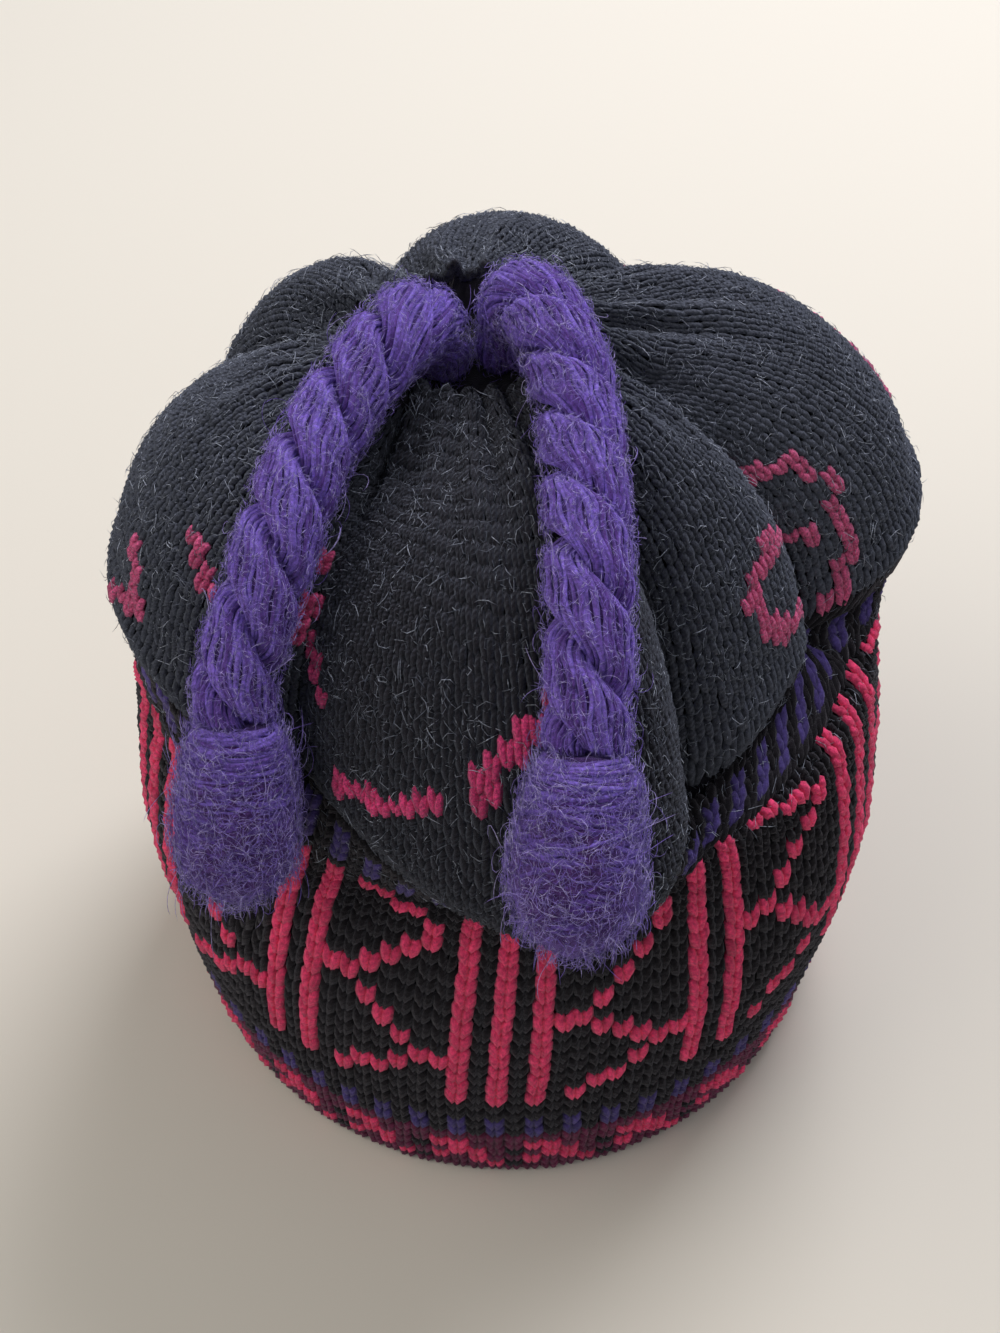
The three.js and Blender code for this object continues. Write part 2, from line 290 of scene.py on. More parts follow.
def along(rounds, column, row):
    # a cubic through the table, whose inner slopes are the mean of the two sides' weighted by the other
    # side's step
    t, v = np.array(rounds["row"], float), np.array(rounds[column], float)
    step = np.diff(t)
    slope = np.diff(v) / step
    inner = (slope[:-1] * step[1:] + slope[1:] * step[:-1]) / (step[:-1] + step[1:])
    tangent = np.concatenate([slope[:1], inner, slope[-1:]])
    i = np.clip(np.searchsorted(t, row, side="right") - 1, 0, len(t) - 2)
    u = (row - t[i]) / step[i]
    return cubic(v[i], v[i + 1], step[i] * tangent[i], step[i] * tangent[i + 1], u)


def smooth(x):
    # 3 x^2 - 2 x^3
    return x * x * (3 - 2 * x)


def bodyPoint(azimuth, row):
    # Below the waist an oval of the table's width and depth. Above it each lobe bulges as a sine power
    # between its valleys, out to its reach and back to the gather.
    side, front = np.sin(np.radians(azimuth)), -np.cos(np.radians(azimuth))
    bandRow, crownRow = np.minimum(row, bandTop), np.maximum(row, bandTop)
    waist = hat["waist"] + hat["waistRise"] * (1 + front) / 2
    width = along(bandRounds, "width", bandRow) * hat["halfWidth"]
    depth = along(bandRounds, "depth", bandRow) * hat["halfDepth"]
    bandRadius = 1 / np.hypot(side / width, front / depth)
    bandHeight = along(bandRounds, "height", bandRow) * waist
    starts = np.array(lobes["start"], float)
    ends = np.append(starts[1:], starts[0] + 360)
    turned = (azimuth - starts[0]) % 360 + starts[0]
    i = np.searchsorted(starts, turned, side="right") - 1
    following = (i + 1) % len(starts)
    across = (turned - starts[i]) / (ends[i] - starts[i])
    skewed = across ** np.array(lobes["skew"], float)[i]
    bulge = np.sin(np.pi * skewed)
    fold = 1 - bulge ** hat["roundness"]

    def blend(column):
        value = np.array(lobes[column])
        edge = (value[i] + np.where(skewed < 0.5, value[i - 1], value[following])) / 2
        return edge + (value[i] - edge) * bulge

    valleys = np.array(lobes["valley"])
    valley = valleys[i] * (1 - smooth(across)) + valleys[following] * smooth(across)
    reach, lip, crest = (blend(column) * hat[column] for column in ("reach", "lip", "crest"))
    start = np.where(row < lipRow, bandRadius, hat["gatherRadius"])
    rise = along(crownRounds, "rise", crownRow)
    ridge = start + (reach - start) * along(crownRounds, "out", crownRow)
    crownRadius = ridge * (1 - fold * (1 - valley) * along(crownRounds, "cut", crownRow))
    height = np.where(rise < 1, waist + (lip - waist) * rise, lip + (crest - lip) * (rise - 1))
    height = height - fold * hat["valleyDrop"] * along(crownRounds, "drop", crownRow)
    closing = smooth(np.clip((row - closingRow) / (topRow - closingRow), 0, 1))
    height = height + (hat["gather"] - height) * closing
    radius = np.where(row > bandTop, crownRadius, bandRadius)
    lean = np.clip((row - lipRow) / (topRow - lipRow), 0, 1)
    return np.stack([radius * side + hat["gatherSide"] * lean, radius * front + hat["gatherBack"] * lean,
                     np.where(row > bandTop, height, bandHeight)], axis=-1)


# A lattice of points and outward normals over the body: rows every fifth of a row, columns at equal lengths
# of arc.
latticeRow = np.linspace(0, topRow, 5 * topRow + 1)
latticeCount = 1440
pleats = {"deep": 1.7, "from": 50, "over": 11, "soft": 0.5, "settle": 12}


def makeLattice():
    # Pleats in the drawn-in crown: (amount) (cos of 23 turns + cos of 37 turns / 2) mm along the outward
    # direction.
    azimuth = np.linspace(0, 360, 2 * latticeCount, endpoint=False)
    points = bodyPoint(azimuth[None], latticeRow[:, None])
    outward = unit(np.cross(np.roll(points, -1, 1) - np.roll(points, 1, 1), np.gradient(points, axis=0)))
    amount = pleats["deep"] * smooth(np.clip((latticeRow - pleats["from"]) / pleats["over"], 0, 1))[:, None]
    turn = np.radians(azimuth)[None]
    drift = 0.5 * np.sin(3 * turn + 1) + 0.3 * np.sin(5 * turn)
    pleat = np.cos(23 * turn + 3 * drift) + 0.5 * np.cos(37 * turn - 2 * drift)
    up = latticeRow[:, None]
    soft = 0.5 * np.sin(4 * turn + up * 0.21) + 0.4 * np.sin(9 * turn - up * 0.33)
    settle = smooth(np.clip(latticeRow / pleats["settle"], 0, 1))[:, None]
    points = points + outward * (amount * pleat + pleats["soft"] * settle * soft)[..., None]
    step = np.linalg.norm(np.roll(points, -1, 1) - points, axis=-1)
    share = np.concatenate([np.zeros((len(latticeRow), 1)), np.cumsum(step, 1)], axis=1)
    girth = share[:, -1]
    share = share[:, :-1] / girth[:, None]
    even = np.arange(latticeCount) / latticeCount
    evened = np.stack([np.stack([np.interp(even, share[r], points[r, :, k], period=1) for k in range(3)], -1)
                       for r in range(len(latticeRow))])
    normal = unit(np.cross(np.roll(evened, -1, 1) - np.roll(evened, 1, 1), np.gradient(evened, axis=0)))
    return evened + shift, normal, girth


latticePoint, latticeNormal, latticeGirth = makeLattice()
rise = np.linalg.norm(np.diff(latticePoint, axis=0), axis=-1).mean(1)
latticeRise = np.concatenate([[0], np.cumsum(rise)])  # mean length up the surface to each lattice row, in mm


def sample(field, around, row):
    # bilinear between the four nearest lattice points
    a, r = (around % 1) * latticeCount, np.clip(row, 0, topRow) / topRow * (len(latticeRow) - 1)
    i, j = a.astype(int) % latticeCount, np.minimum(r.astype(int), len(latticeRow) - 2)
    f, g = (a - np.floor(a))[..., None], (r - j)[..., None]
    i2 = (i + 1) % latticeCount
    below = field[j, i] * (1 - f) + field[j, i2] * f
    above = field[j + 1, i] * (1 - f) + field[j + 1, i2] * f
    return below * (1 - g) + above * g


print("surface charted:", round(float(latticeRise[-1])), "mm from rim to gather")

# The pattern, read upwards from the rim, one letter a stitch: k black, m plum, p pink, a little brighter
# as painted light on the band, c the same pink painted darker and more magenta as painted shade and cool
# light on the crown, v violet.
zigzag = ["kppkkkk", "kkkppkk", "kkkkkpk", "kkkkkpk", "kkkkpkk", "kkkpkkk", "kkpkkkk", "ppkkkkk",
          "kkpkkkk", "kkkpkkk", "kkkkpkk", "kkkkkpp", "kkkkpkk", "kkppkkk", "kpkkkkk"]
rimChart = ["m", "mmpkm", "mpmmp", "ppmkm", "pmmmp", "m", "vk", "vk", "k", "k"]
mainChart = ["pkpkp" + row + "pkp" + row for row in reversed(zigzag)]
waistChart = ["k", "vk", "vk", "vk", "k"]
bandChart = rimChart + mainChart + waistChart
crownStrokes = [  # pink lines on the crown, each a path of columns from the front and rows from the rim
    [(-14.5, 50.5), (-16, 48.2), (-14, 47.2), (-15, 45.4), (-12.5, 44.2), (-12, 42.6)],
    [(-10, 38.6), (-7, 39.6), (-3.7, 41)],
    [(-1, 42.7), (0.5, 44.6), (3, 46.5)],
    [(31, 48.5), (37, 47.4), (38.2, 45), (37.6, 40.7), (36, 37), (33, 37.6), (27, 40), (25, 41.6),
     (24.6, 43.6), (27.5, 45), (31, 44), (35.5, 42.3)],
    [(-22.5, 47), (-20, 45)],
    [(-27, 42.5), (-25, 40), (-28, 38)],
]
backDiamond = [(0, 47), (6, 42.5), (0, 38), (-6, 42.5), (0, 47)]  # the plain repeat behind, at these columns
backColumns = [55, 75, 95]
strokeReach = 0.56  # in stitches
# Painted light: away from the front lobe the crown stitches are mixed towards a pale grey, painted sheen for
# the light the other lobes catch, so the front lobe stays darker as painted shade.
paintedLobeLight = {"dye": "#6b7280", "from": 28, "over": 40, "most": 0.22}
# p and c are one pink: c is its painted shade and cool light on the crown, p is lightened as painted light
# on the band.
dyes = {"k": "#161316", "m": "#642742", "p": "#dc4069", "c": "#ba3464", "v": "#463a70"}
bandColumns = 110
crownColumns = 150
crownStart = 30
crownRowHeight = 4.0  # mm
bandRows = np.arange(crownStart + 1.0)
startLength = np.interp(crownStart, latticeRow, latticeRise)
crownRows = np.interp(np.arange(startLength, latticeRise[-1], crownRowHeight), latticeRise, latticeRow)
print(len(crownRows), "rows in the crown")


# The fabric is drawn up where the crown folds in beside the front lobe, and it leans: azimuth in degrees,
# rows of lift from the waist up, stitches of lean low in the band and above it, and stitches of lean a row
# at its top.
drawn = {
    "azimuth": [-180, -72, -36, -16, 0, 15, 36, 72, 180],
    "lift": [5, 6, 6, 3.5, 0.3, 0.8, 5.5, 7, 5],
    "leanLow": [-0.4, 0.5, 0.25, -0.3, -0.6, -0.9, -1.1, -1.3, -0.4],
    "leanHigh": [0, 2.2, 2.5, 1.3, 0.4, -0.3, -1.1, -1.4, 0],
    "leanTop": [0, 0, 0, 0, 0, 0, 1.1, 1.2, 0],
}


def onFabric(around, row, band=0.0):
    # Lift fades in up the band as (row - 8) / 17 and out again over the crown. Lean runs from low to high
    # over rows 10 to 30, and over rows 25 to 31 of the band the lean of its top comes on, row by row.
    azimuth = (around * 360 + 180) % 360 - 180
    up = np.interp(azimuth, drawn["azimuth"], drawn["lift"])
    low = np.interp(azimuth, drawn["azimuth"], drawn["leanLow"])
    high = np.interp(azimuth, drawn["azimuth"], drawn["leanHigh"])
    fade = np.clip((row - 8) / 17, 0, 1) * (1 - smooth(np.clip((row - 33) / 29, 0, 1)))
    part = np.clip((row - 10) / 20, 0, 1)
    top = band * np.interp(azimuth, drawn["azimuth"], drawn["leanTop"]) * np.clip(row - 25, 0, 6)
    return around + (low * (1 - part) + high * part + top) / bandColumns, row + up * fade


def strokeChart():
    # A stitch is pink when its place on the fabric is within strokeReach of a path: distance to each
    # straight part is |place - a - t (b - a)|, with t held between 0 and 1.
    row, column = np.meshgrid(crownRows, np.arange(crownColumns), indexing="ij")
    around, height = onFabric(column / crownColumns, row)
    place = np.stack([around * crownColumns, height], -1)
    paths = [np.array(path, float) for path in crownStrokes]
    paths += [np.array(backDiamond, float) + [away, 0] for away in backColumns]
    nearest = np.full(row.shape, np.inf)
    for path in paths:
        for a, b in zip(path[:-1], path[1:]):
            apart = place - a
            apart[..., 0] = (apart[..., 0] + crownColumns / 2) % crownColumns - crownColumns / 2
            t = np.clip(apart @ (b - a) / ((b - a) @ (b - a)), 0, 1)
            nearest = np.minimum(nearest, np.linalg.norm(apart - t[..., None] * (b - a), axis=-1))
    return ["".join("c" if near else "k" for near in line) for line in nearest < strokeReach]


# One leg of a stitch: across in stitch widths, up in row heights, outward from 0 deep to 1 high.
legPath = np.array([[-0.06, -0.45, 0.3], [-0.14, 0.0, 0.8], [-0.24, 0.5, 1.0], [-0.31, 0.95, 0.8],
                    [-0.3, 1.35, 0.2]])
legGirth = np.array([0.235, 0.265, 0.235])
# How far stitches differ across, up, outward, in girth and in shade. Pink ones are bolder and stand out.
stitchMake = {"across": 0.035, "up": 0.05, "out": 0.12, "girth": 0.05, "shade": 0.1,
              "bold": 1.12, "boldOut": 3, "narrowest": 2.2, "widest": 5.4}


def stitches(rows, chart, columns, firstColumn, chosen, depth, crown=0.0):
    # Each stitch is two mirrored legs that follow legPath over the surface, a V with its point down. Crown
    # is 1 over the crown and 0 over the band.
    row, column = np.meshgrid(chosen, np.arange(columns), indexing="ij")
    row, column = row.ravel(), column.ravel()
    letters = np.array([chart[r][c % len(chart[r])] if r < len(chart) else "k"
                        for r, c in zip(row, column)])
    paint = {key: linear(value) for key, value in dyes.items()}
    dye = np.array([paint[letter] for letter in letters])
    # Painted light: the share of the pale grey grows with the angle from the front lobe, on the crown only.
    away = np.abs(((column - firstColumn) / columns * 360 + 180) % 360 - 180)
    lobeLightShare = (crown * paintedLobeLight["most"] * np.clip((away - paintedLobeLight["from"]) / paintedLobeLight["over"], 0, 1))[:, None]
    dye = dye * (1 - lobeLightShare) + linear(paintedLobeLight["dye"]) * lobeLightShare
    bold = np.where(np.isin(letters, ["p", "c"]), stitchMake["bold"], 1.0)
    count = len(row)
    wander = rng.normal(0, 1, (count, 1, 4))
    parts = []
    for mirror in (1, -1):
        across = mirror * legPath[:, 0] + stitchMake["across"] * wander[..., 0]
        up = legPath[:, 1] + stitchMake["up"] * wander[..., 1]
        reached = row[:, None] + up
        surfaceRow = np.interp(reached, np.arange(len(rows)), rows)
        surfaceRow = np.where(reached < 0, np.maximum(rows[0] + reached, 0), surfaceRow)
        beyond = rows[-1] + (reached - len(rows) + 1) * (rows[-1] - rows[-2])
        surfaceRow = np.where(reached > len(rows) - 1, beyond, surfaceRow)
        around = (column[:, None] + across - firstColumn) / columns
        around, surfaceRow = onFabric(around, surfaceRow, 1 - crown)
        place, normal = sample(latticePoint, around, surfaceRow), sample(latticeNormal, around, surfaceRow)
        stitchWidth = np.interp(surfaceRow, latticeRow, latticeGirth) / columns
        height = depth[0] + (depth[1] - depth[0]) * legPath[:, 2] + stitchMake["out"] * wander[..., 2]
        height = height + (bold[:, None] - 1) * stitchMake["boldOut"]
        place = place + normal * height[..., None]
        girth = legGirth * np.clip(stitchWidth[:, 1:-1], stitchMake["narrowest"], stitchMake["widest"])
        girth = girth * (1 + stitchMake["girth"] * wander[..., 3]) * bold[:, None]
        tint = dye * (1 + stitchMake["shade"] * rng.normal(0, 1, (count, 1)))
        parts.append(tubes(place * mm, normal, girth * mm, 4, np.clip(tint, 0, 1), squash=0.9))
    return parts


edgeMake = {"stations": 700, "twist": 0.9, "sink": 0.4, "strand": 0.95, "lowest": 0.8}  # lengths in mm


def edging(row, lift, dye):
    # Two strands twisted round each other along a row, raised by lift mm: row point + twist (cos t outward
    # + sin t upward).
    count = edgeMake["stations"]
    around = (np.arange(count) + 0.5) / count
    level = np.full(count, row)
    base, outward = sample(latticePoint, around, level), sample(latticeNormal, around, level)
    outward[:, 2] = 0
    outward = unit(outward)
    parts = []
    for phase in (0, np.pi):
        turn = np.pi * bandColumns * around + phase
        winding = np.cos(turn)[:, None] * outward + np.sin(turn)[:, None] * [0, 0, 1]
        path = base - edgeMake["sink"] * outward + edgeMake["twist"] * winding
        path[:, 2] = np.maximum(path[:, 2] + lift, edgeMake["lowest"])
        girths = np.full((1, count - 2), edgeMake["strand"] * mm)
        parts.append(tubes(path[None] * mm, outward[None], girths, 4, linear(dyes[dye])[None]))
    return parts


def shell():
    # The knit's inner face: the surface sunk by 1.5 mm and by the wall's thickness, joined at the rim and
    # closed by the dish of the gather.
    columns, stations = 110, 42
    rows = np.interp(np.linspace(0, latticeRise[-1], stations), latticeRise, latticeRow)
    around = np.arange(columns) / columns
    s, v = np.meshgrid(around, rows)
    place, normal = sample(latticePoint, s, v), sample(latticeNormal, s, v)
    normal[0, :, 2] = 0
    normal = unit(normal)
    centre = np.array([hat["gatherSide"], hat["gatherBack"], hat["gather"] - hat["dishDepth"]]) + shift
    angle = 2 * np.pi * around
    ring = np.stack([np.sin(angle), -np.cos(angle), np.zeros(columns)], -1)
    outer = place - 1.5 * normal
    inner = place - hat["wall"] * normal
    dish = ((hat["dishRadius"], 0), (14, -0.5), (7, 0))
    above = [centre + ring * radius + [0, 0, z] for radius, z in dish]
    under = [centre + ring * radius - [0, 0, hat["wall"]] for radius in (hat["dishRadius"] + 2, 14, 7)]
    loops = np.concatenate([np.array(under)[::-1], inner[-2::-1], outer, np.array(above)])
    return closedRings(loops * mm, ((centre - [0, 0, hat["wall"]]) * mm, centre * mm), linear("#131118"))


firstBandColumn = 2
rimRows = 9
half = len(crownRows) // 2
crownChart = strokeChart()
bandKnit = (bandRows, bandChart, bandColumns, firstBandColumn)
crownKnit = (crownRows, crownChart, crownColumns, 0)
bandDepth = (-1.3, 0.9)  # where a stitch's legs lie, inmost and outmost, in mm out from the surface
crownDepth = (-1.1, 0.6)
knitParts = {
    "knitRim": edging(0.3, 0, "m") + stitches(*bandKnit, np.arange(rimRows), bandDepth),
    "knitBand": stitches(*bandKnit, np.arange(rimRows, crownStart), bandDepth),
    "knitCrownEdge": stitches(*crownKnit, np.arange(half), crownDepth, 1.0),
    "knitCrownTop": (edging(65.7, 0.2, "k")
                     + stitches(*crownKnit, np.arange(half, len(crownRows) - 1), crownDepth, 1.0)),
}
knitPieces = []
for name, made in knitParts.items():
    knitPieces.append(addParts(name, made, crownWool if "Crown" in name else knitWool))
knitPieces.append(addParts("knitBacking", [shell()], knitWool))
for piece in knitPieces:
    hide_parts("knitted_body")
print("body knitted")

# The cords' routes: shares of the crown's reach sideways and forwards, and of its crest upwards.
cordRoutes = {
    "right": [
        [0.0167, 0.1991, 0.9079], [0.0167, 0.1991, 0.9458], [0.0185, 0.1907, 0.9803],
        [0.037, 0.1435, 1.0123], [0.0741, 0.0602, 1.0236], [0.1063, -0.0361, 1.0212],
        [0.1288, -0.1501, 1.0093], [0.1421, -0.2939, 0.9958], [0.1469, -0.4423, 0.9834],
        [0.1485, -0.5718, 0.9632], [0.1477, -0.6784, 0.9304], [0.1446, -0.7693, 0.8903],
        [0.139, -0.8342, 0.8523],
    ],
    "left": [
        [-0.1648, 0.1713, 0.9079], [-0.1648, 0.1713, 0.9409], [-0.1741, 0.1463, 0.9754],
        [-0.1991, 0.0926, 1.0025], [-0.2407, 0.0185, 1.0099], [-0.2917, -0.0556, 0.9951],
        [-0.3506, -0.1464, 0.9756], [-0.402, -0.2537, 0.9558], [-0.4397, -0.3567, 0.9285],
        [-0.4727, -0.4412, 0.8948], [-0.5078, -0.5169, 0.855], [-0.5405, -0.5839, 0.8117],
        [-0.5429, -0.6267, 0.7731],
    ],
}
cordMake = {"diameter": 19.0, "plies": 2, "pitch": 35.0, "plyOffset": 4.0, "plyDeep": 4.3, "plyWide": 6.7,
            "strand": 0.6, "strands": 38, "step": 1.8, "counterTwist": 1.2}
# Painted shade: the darker purple of each ply's inner tube, which shows only in the gaps between strands.
cordDyes = {"lit": "#8d72d4", "deep": "#5c3a86", "core": "#3c255a", "felt": "#54366f", "loose": "#dcd3f6"}


def inMillimetres(route):
    # Shares times the hat's own reach and crest, moved by shift.
    return np.array(route, float) * [hat["reach"], hat["reach"], hat["crest"]] + shift


def routeCurve(route):
    # The centripetal Catmull-Rom curve through the route: knots are spaced by the square root of the
    # distance, and the ends carry on in line with their neighbours.
    p = inMillimetres(route)
    p = np.concatenate([[2 * p[0] - p[1]], p, [2 * p[-1] - p[-2]]])
    gap = np.sqrt(np.linalg.norm(np.diff(p, axis=0), axis=1))
    u = np.linspace(0, 1, 40, endpoint=False)[:, None]
    pieces = []
    for i in range(1, len(p) - 2):
        before, here, after = gap[i - 1], gap[i], gap[i + 1]
        straight = (p[i + 1] - p[i]) / here
        leave = ((p[i] - p[i - 1]) / before - (p[i + 1] - p[i - 1]) / (before + here) + straight) * here
        reach = (straight - (p[i + 2] - p[i]) / (here + after) + (p[i + 2] - p[i + 1]) / after) * here
        pieces.append(cubic(p[i], p[i + 1], leave, reach, u))
    return np.concatenate(pieces + [p[-2:-1]])


def spaced(curve, step):
    # Points at equal lengths along the curve, about a step apart, and those lengths.
    length = np.concatenate([[0], np.cumsum(np.linalg.norm(np.diff(curve, axis=0), axis=1))])
    count = int(round(length[-1] / step)) + 1
    even = np.linspace(0, length[-1], count)
    return np.stack([np.interp(even, length, curve[:, k]) for k in range(3)], -1), even


def crossFrame(ahead):
    # Across is X made square to the way ahead, and over completes the pair.
    across = unit(np.array([1.0, 0, 0]) - ahead * ahead[..., :1])
    return across, np.cross(ahead, across)


def blended(first, second, mix):
    # first (1 - mix) + second mix, of two dyes
    return linear(first) * (1 - mix) + linear(second) * mix


def cordPiece(name, route):
    # Two plies wind about the line, each pressed to an oval: ply middle + deep cos a outward + wide sin a
    # along the winding. A strand's angle a turns the other way, so that on the outside it runs more nearly
    # along the cord.
    line, length = spaced(routeCurve(route), cordMake["step"])
    across, over = crossFrame(unit(np.gradient(line, axis=0)))
    turn = -2 * np.pi * length / cordMake["pitch"]
    strand = np.arange(cordMake["strands"])[:, None]
    parts, skins = [], []

    def oval(angle, size):
        reach = (size * (cordMake["plyDeep"] * np.cos(angle))[..., None] * outward
                 + size * (cordMake["plyWide"] * np.sin(angle))[..., None] * winding)
        square = unit((np.cos(angle) / cordMake["plyDeep"])[..., None] * outward
                      + (np.sin(angle) / cordMake["plyWide"])[..., None] * winding)
        return line + cordMake["plyOffset"] * outward + reach, square

    for side in 2 * np.pi * np.arange(cordMake["plies"]) / cordMake["plies"]:
        cosine, sine = np.cos(turn + side)[:, None], np.sin(turn + side)[:, None]
        outward, winding = cosine * across + sine * over, cosine * over - sine * across
        # Each ply's inner tube, dyed darker as painted shade between the strands.
        angle = np.repeat(2 * np.pi * np.arange(16)[:, None] / 16, len(line), axis=1)
        rings = oval(angle, 0.96)[0].transpose(1, 0, 2)
        parts.append(closedRings(rings * mm, (rings[0].mean(0) * mm, rings[-1].mean(0) * mm),
                                 linear(cordDyes["core"])))
        angle = 2 * np.pi * strand / cordMake["strands"] - cordMake["counterTwist"] * turn[None]
        angle = (angle + 0.06 * np.sin(length[None] * 0.23 + strand * 1.7)
                 + 0.05 * np.sin(length[None] * 0.5 + strand * 5.1))
        wave = (0.2 * np.sin(length[None] * 0.29 + strand * 2.3)
                + 0.12 * np.sin(length[None] * 0.71 + strand * 3.7))
        paths, square = oval(angle, 1.0)
        girths = cordMake["strand"] * (1 + 0.15 * np.sin(length[None, 1:-1] * 0.3 + strand * 4.1))
        dye = blended(cordDyes["deep"], cordDyes["lit"], rng.random((cordMake["strands"], 1)))
        parts.append(tubes((paths + wave[..., None] * square) * mm, square, girths * mm, 4, dye, squash=0.8))
        skins.append(oval(np.repeat(np.linspace(-1.7, 1.7, 15)[:, None], len(line), axis=1), 1.12))
    piece = addParts(name, parts, cordWool)
    return piece, line, [np.concatenate([skin[k].reshape(-1, 3) for skin in skins]) for k in (0, 1)]


bobbleRounds = {  # along the bobble from its neck, and out from its middle line
    "row": [0, 0.07, 0.19, 0.35, 0.56, 0.75, 0.9, 1],
    "radius": [0.55, 0.67, 0.78, 0.86, 0.91, 0.87, 0.65, 0.24],
}
bobbleMake = {"radius": 14.9, "length": 41.0, "strand": 0.55, "clearance": 0.3, "wraps": 120,
              "coreSink": 0.7, "wrapSink": 0.5, "tipSink": 1.1, "endSink": 1.2}


def bobblePiece(name, route):
    # A felted core turned to the bobble's rounds, lumpy by a few sines, and wraps that lie on it: each goes
    # once round at its own height and leans by a sine of the turn, more so towards the round end.
    end, before = inMillimetres(route)[-1], inMillimetres(route)[-2]
    ahead = unit(end - before)
    across, over = crossFrame(ahead)
    start = end + ahead * bobbleMake["clearance"]
    columns, stations = 64, 48
    angles = 2 * np.pi * np.arange(columns) / columns
    share, turn = np.meshgrid(np.linspace(0, 1, stations), angles, indexing="ij")
    lumps = (0.45 * np.sin(3 * turn + 9 * share) + 0.3 * np.sin(5 * turn - 14 * share + 1)
             + 0.3 * rng.normal(0, 1, share.shape) * (share > 0.3))
    reach = along(bobbleRounds, "radius", share) * bobbleMake["radius"] - bobbleMake["coreSink"] + lumps
    direction = np.cos(turn)[..., None] * across + np.sin(turn)[..., None] * over
    middle = start + ahead * (share * bobbleMake["length"])[..., None]
    rings = middle + direction * reach[..., None]
    parts = [closedRings(rings * mm, (start * mm, (start + ahead * bobbleMake["length"]) * mm),
                         linear(cordDyes["felt"]))]
    wraps = bobbleMake["wraps"]
    middleShare = (((np.arange(wraps) + rng.random(wraps)) / wraps) ** 1.6)[:, None]
    angle = rng.uniform(0, 2 * np.pi, (wraps, 1)) + np.linspace(0, 1.5 * np.pi, 16)[None]
    lean = (0.06 + 0.2 * middleShare) * rng.uniform(0.2, 1, (wraps, 1))
    swing = np.sin(angle + rng.uniform(0, 2 * np.pi, (wraps, 1)))
    at = np.clip(0.02 + 0.9 * middleShare + lean * swing, 0.01, 0.97)
    radius = along(bobbleRounds, "radius", at) * bobbleMake["radius"] - bobbleMake["wrapSink"]
    radius = radius - bobbleMake["tipSink"] * middleShare
    radius = radius + 0.5 * rng.random((wraps, 1)) + 0.3 * np.sin(3 * angle + 9 * at)
    ends = np.linspace(0, 1, 16)
    radius = radius - bobbleMake["endSink"] * (np.abs(2 * ends - 1) ** 6)[None]
    outward = np.cos(angle)[..., None] * across + np.sin(angle)[..., None] * over
    paths = start + ahead * (at * bobbleMake["length"])[..., None] + outward * radius[..., None]
    girths = np.repeat(bobbleMake["strand"] * rng.uniform(0.6, 1.25, (wraps, 1)), 14, axis=1)
    mix = np.clip(rng.random((wraps, 1)) * (1.5 - 1.2 * middleShare), 0, 1)  # brightest at the neck
    dye = blended(cordDyes["deep"], cordDyes["lit"], mix)
    parts.append(tubes(paths * mm, outward, girths * mm, 4, dye))
    piece = addParts(name, parts, cordWool)
    return piece, rings.reshape(-1, 3), np.broadcast_to(direction, rings.shape).reshape(-1, 3)


def hairs(base, outward, length, curl, lift, stations, girth, dye):
    # Loose fibre ends. Each one sets out over the surface in its own direction, turns steadily by up to
    # curl radians, climbs at first and comes back down: a step is cos(turn) a + sin(turn) b + climb
    # outward.
    count = len(base)
    a = unit(np.cross(outward, unit(rng.normal(size=(count, 3)))))
    b = np.cross(outward, a)
    t = np.linspace(0, 1, stations + 2)
    turn = rng.uniform(0, 2 * np.pi, (count, 1)) + rng.normal(0, curl, (count, 1)) * t
    climb = lift * rng.uniform(0.2, 1.4, (count, 1)) * (1 - 1.6 * t)
    heading = unit(np.cos(turn)[..., None] * a[:, None] + np.sin(turn)[..., None] * b[:, None]
                   + climb[..., None] * outward[:, None])
    steps = heading[:, :-1] * (length * rng.uniform(0.5, 1.5, (count, 1, 1)) / (stations + 1))
    paths = base[:, None] + np.concatenate([np.zeros((count, 1, 3)), np.cumsum(steps, axis=1)], axis=1)
    girths = np.full((count, stations), girth)
    normals = np.broadcast_to(outward[:, None], paths.shape)
    return tubes(paths * mm, normals, girths * mm, 3, dye)


def mixDyes(count, first, second):
    # A dye for each hair, more of them near the first: the mix is a random share to the power 1.5.
    return blended(first, second, rng.random((count, 1)) ** 1.5)


hairRoot = {"bobble": 0.8, "nap": 0.5}  # mm off the surface
# Loose hairs: how many, how long, how much they curl and lift, stations, girth. Most are short, some are
# long loops. Each bobble's first rings, where the cord sits, bear none.
fluffMake = {
    "bobble": ((3300, 4.5, 3.5, 0.3, 2, 0.075), (1500, 3.0, 1.5, 0.8, 1, 0.075),
               (200, 10.0, 5.0, 0.6, 6, 0.065)),
    "cord": ((8400, 2.8, 1.5, 0.55, 1, 0.085), (150, 8.0, 5.0, 0.8, 6, 0.065)),
}
for side, route in cordRoutes.items():
    cord, line, (twist, square) = cordPiece("cord" + side.capitalize(), route)
    bobble, skin, outward = bobblePiece("bobble" + side.capitalize(), route)
    roots = {"bobble": (skin + hairRoot["bobble"] * outward, outward, len(skin) // 24),
             "cord": (twist, square, 0)}
    fluff = []
    for part, (base, away, first) in roots.items():
        for count, length, curl, lift, stations, girth in fluffMake[part]:
            chosen = rng.integers(first, len(base), count)
            fluff.append(hairs(base[chosen], away[chosen], length, curl, lift, stations, girth,
                               mixDyes(count, cordDyes["lit"], cordDyes["loose"])))
    halo = addParts("fluff" + side.capitalize(), fluff, cordWool)
    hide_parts("cord_" + side)
    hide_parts("bobble_" + side)
    length = float(np.linalg.norm(np.diff(line, axis=0), axis=1).sum()) * mm
print("cords twisted and wound")

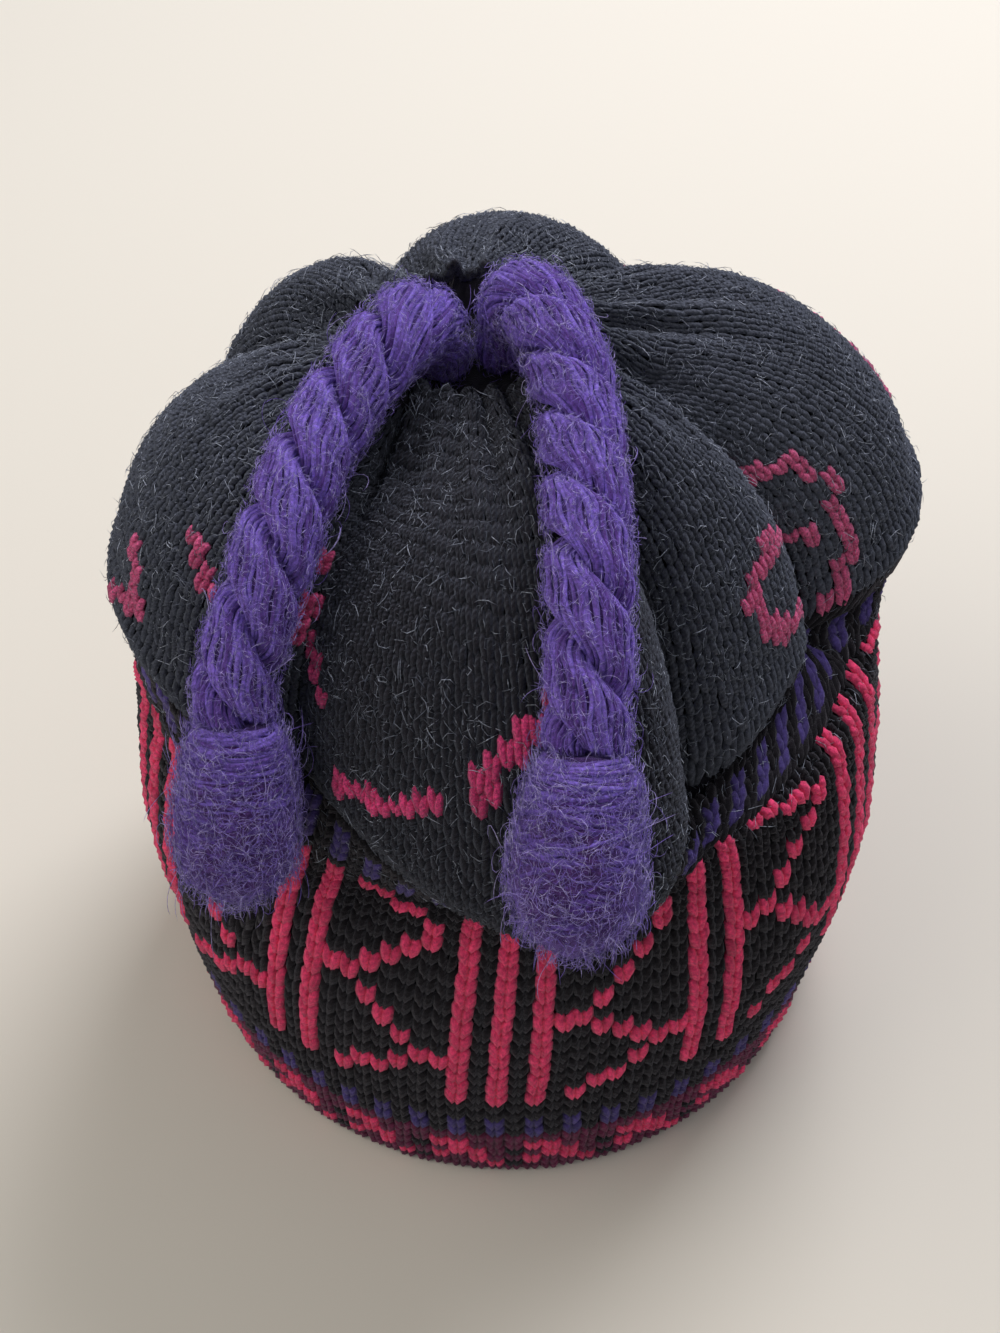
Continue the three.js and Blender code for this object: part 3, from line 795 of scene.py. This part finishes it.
# Nap over the crown: lowest and highest row, and for long and short fibres how many, how long, how curled,
# stations.
napPlaces = {"fuzzCrownEdge": (30, 47), "fuzzCrownTop": (44, 65)}
napMake = ((5000, 4.8, 3.0, 2), (6000, 2.4, 1.5, 1))
# Painted sheen: the nap fibres on the black wool are dyed dark grey to pale blue-grey, for the light the
# fine fibres catch.
napSheenDyes = ("#4a4f5a", "#c6cdd9")
napLift = 0.45
napGirth = 0.08  # mm
for name, (low, high) in napPlaces.items():
    fibres = []
    for count, length, curl, stations in napMake:
        around, row = rng.random(count), rng.uniform(low, high, count)
        base, outward = sample(latticePoint, around, row), unit(sample(latticeNormal, around, row))
        fibres.append(hairs(base + hairRoot["nap"] * outward, outward, length, curl, napLift, stations,
                            napGirth, mixDyes(count, *napSheenDyes)))
    piece = addParts(name, fibres, crownWool)
print("fuzz raised")

# The floor is a plain pale sheet, lit softly from above and from the right.
floorMesh = bpy.data.meshes.new("floor")
floorMesh.from_pydata([(-3, -3, 0), (3, -3, 0), (3, 3, 0), (-3, 3, 0)], [], [(0, 1, 2, 3)])
floor = bpy.data.objects.new("floor", floorMesh)
floorPaint = bpy.data.materials.new("floorPaint")
floorPaint.use_nodes = True
paint = floorPaint.node_tree.nodes["Principled BSDF"].inputs
paint["Base Color"].default_value = (*linear("#d6d1c1"), 1)
paint["Roughness"].default_value = 0.9
floorMesh.materials.append(floorPaint)
bpy.context.scene.collection.objects.link(floor)


def addLight(name, place, size, power, colour):
    # A square area light at the place, turned to the hat's middle.
    data = bpy.data.lights.new(name, "AREA")
    data.size = size
    data.energy = power
    data.color = linear(colour)
    light = bpy.data.objects.new(name, data)
    light.location = place
    light.rotation_euler = (Vector(place) - Vector((0, 0, 0.1))).to_track_quat("Z", "Y").to_euler()
    bpy.context.scene.collection.objects.link(light)


addLight("keyLight", (0.45, 0.85, 1.2), 0.8, 21, "#f4f3ff")
addLight("fillLight", (-1.0, -0.2, 1.2), 1.2, 8, "#fff6ee")
world = bpy.data.worlds.new("studio")
world.use_nodes = True
sky = world.node_tree.nodes["Background"].inputs
sky["Color"].default_value = (0.9, 0.92, 1.0, 1)
sky["Strength"].default_value = 0.42
bpy.context.scene.world = world
bpy.context.scene.view_settings.view_transform = "Standard"
print("studio lit")
